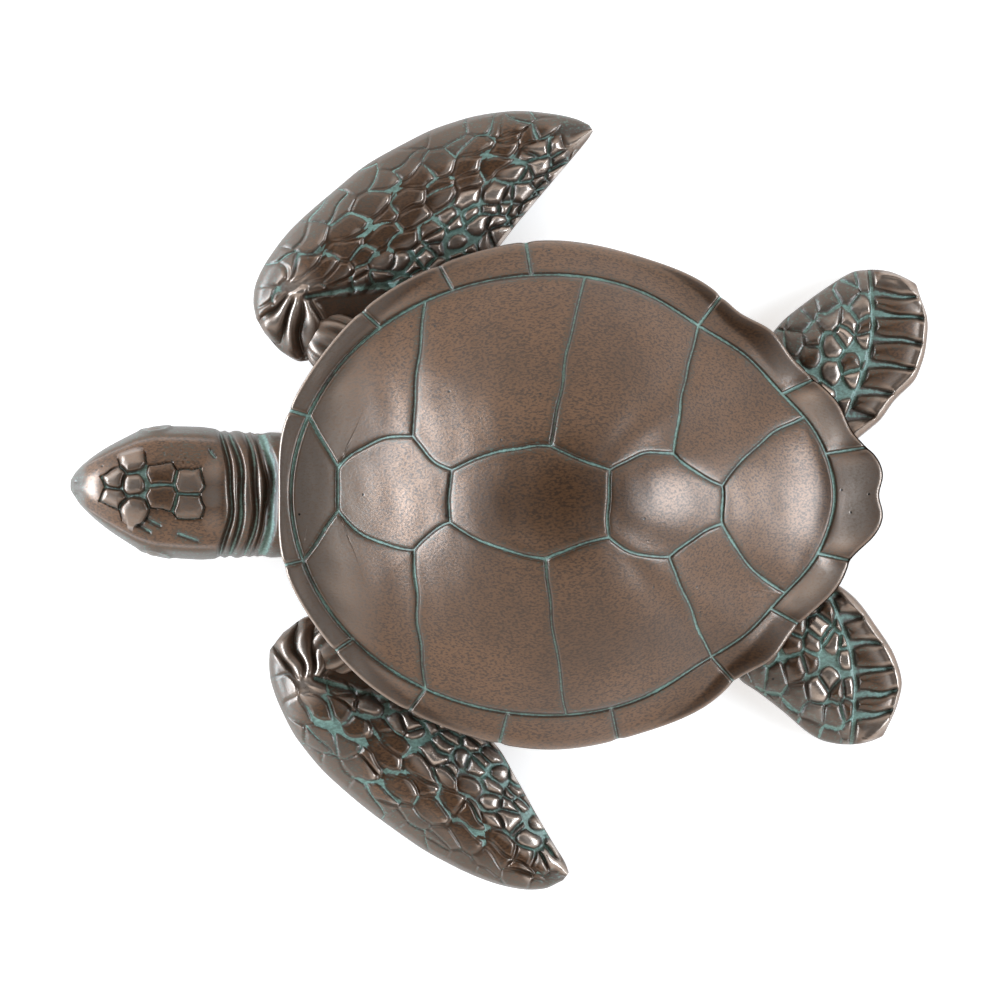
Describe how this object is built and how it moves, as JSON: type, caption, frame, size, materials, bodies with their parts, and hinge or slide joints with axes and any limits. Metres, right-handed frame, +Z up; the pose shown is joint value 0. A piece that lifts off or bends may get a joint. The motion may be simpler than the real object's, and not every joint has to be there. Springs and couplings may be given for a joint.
{
  "type": "sea turtle figurine",
  "caption": "Sea turtle figurine in bronze-finish cast resin, with a domed scute-patterned shell, spread flippers and a felt base, for standing on a shelf or table.",
  "frame": {"origin": "centre line of the turtle on the table, on the underside of the felt under the belly", "axes": "+Z up, -Y towards the beak and +Y towards the tail, +X towards the animal's left"},
  "size_m": [0.2743, 0.301, 0.0738],
  "materials": {
    "bronze_resin": "satin bronze paint with green patina in the seams",
    "steel": "plain",
    "felt": "felt"
  },
  "bodies": {
    "root": {"carapace": "bronze_resin", "plastron": "bronze_resin", "head_and_neck": "bronze_resin", "front_flipper_right": "bronze_resin", "front_flipper_left": "bronze_resin", "hind_flipper_right": "bronze_resin", "hind_flipper_left": "bronze_resin", "neck_dowels": "steel", "front_flipper_right_dowels": "steel", "front_flipper_left_dowels": "steel", "hind_flipper_right_dowels": "steel", "hind_flipper_left_dowels": "steel", "belly_felt": "felt", "flipper_felt_dots": "felt"}
  },
  "joints": []
}
